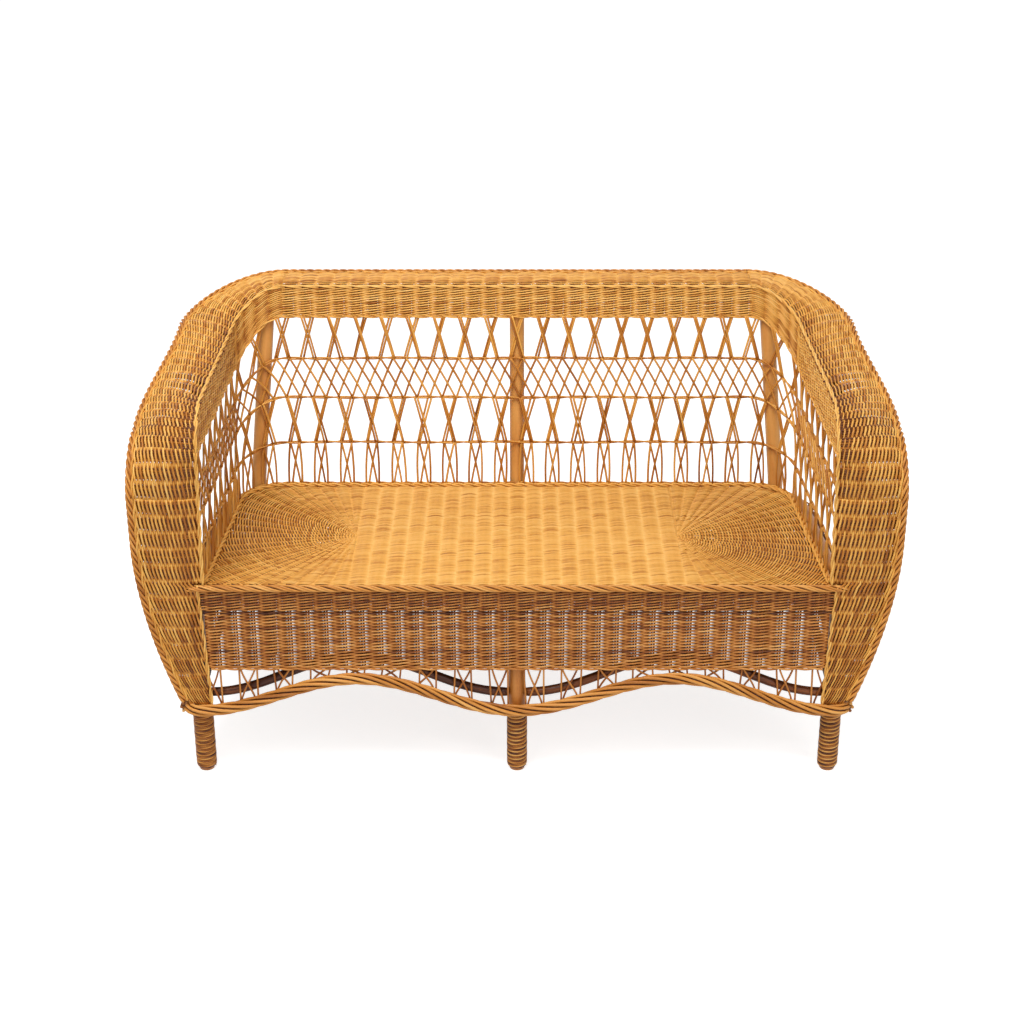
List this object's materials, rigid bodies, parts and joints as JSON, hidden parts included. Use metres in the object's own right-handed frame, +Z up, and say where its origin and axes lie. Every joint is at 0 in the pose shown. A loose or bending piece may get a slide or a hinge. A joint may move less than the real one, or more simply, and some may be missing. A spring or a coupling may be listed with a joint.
{
  "type": "garden sofa",
  "caption": "Two-seat woven rattan garden sofa with curved wrap-round arms, an openwork lattice back and an arched, braided skirt on cane-wrapped legs.",
  "frame": {"origin": "middle of the footprint, on the floor", "axes": "+X to the right seen from the front, +Y from the front to the back, +Z up"},
  "size_m": [1.3968, 0.622, 0.8094],
  "materials": {
    "woven_cane": "golden split cane, lightly lacquered, woven",
    "skirt_cane": "darker golden-brown cane, lightly lacquered, woven",
    "braided_cane": "round cane strands, twisted or wrapped, lightly lacquered",
    "pole": "smooth rattan pole, lacquered"
  },
  "bodies": {
    "root": {"front_leg_right": "pole", "front_leg_left": "pole", "front_leg_middle": "pole", "back_post_middle": "pole", "back_post_right": "pole", "back_post_left": "pole", "seat_rail_right": "pole", "seat_rail_left": "pole", "seat_rail_front": "pole", "seat_rail_back": "pole", "seat_bearer_right": "pole", "seat_bearer_left": "pole", "seat_bearer_middle": "pole", "top_rail": "pole", "leg_wrap_front_right": "braided_cane", "leg_wrap_front_left": "braided_cane", "leg_wrap_front_middle": "braided_cane", "leg_wrap_back_right": "braided_cane", "leg_wrap_back_left": "braided_cane", "leg_wrap_back_middle": "braided_cane", "seat_panel": "woven_cane", "seat_edge_braid": "braided_cane", "front_apron": "skirt_cane", "front_open_strip": "skirt_cane", "front_border": "braided_cane", "front_strip": "skirt_cane", "side_right_apron": "skirt_cane", "side_right_open_strip": "skirt_cane", "side_right_border": "braided_cane", "side_left_apron": "skirt_cane", "side_left_open_strip": "skirt_cane", "side_left_border": "braided_cane", "back_apron": "skirt_cane", "back_open_strip": "skirt_cane", "back_border": "braided_cane", "arch_brace_front_right": "pole", "arch_brace_front_left": "pole", "arch_brace_back_right": "pole", "arch_brace_back_left": "pole", "arch_brace_side_right": "pole", "arch_brace_side_left": "pole", "back_lattice": "woven_cane", "side_lattice_right": "woven_cane", "side_lattice_left": "woven_cane", "corner_lattice_right": "woven_cane", "corner_lattice_left": "woven_cane", "inner_band_right": "woven_cane", "inner_band_left": "woven_cane", "inner_band_back": "woven_cane", "arm_face_right": "woven_cane", "arm_face_left": "woven_cane", "arm_top_right": "woven_cane", "arm_top_left": "woven_cane", "back_top": "woven_cane", "outer_braid_right": "braided_cane", "outer_braid_left": "braided_cane", "outer_braid_back": "braided_cane"}
  },
  "joints": []
}
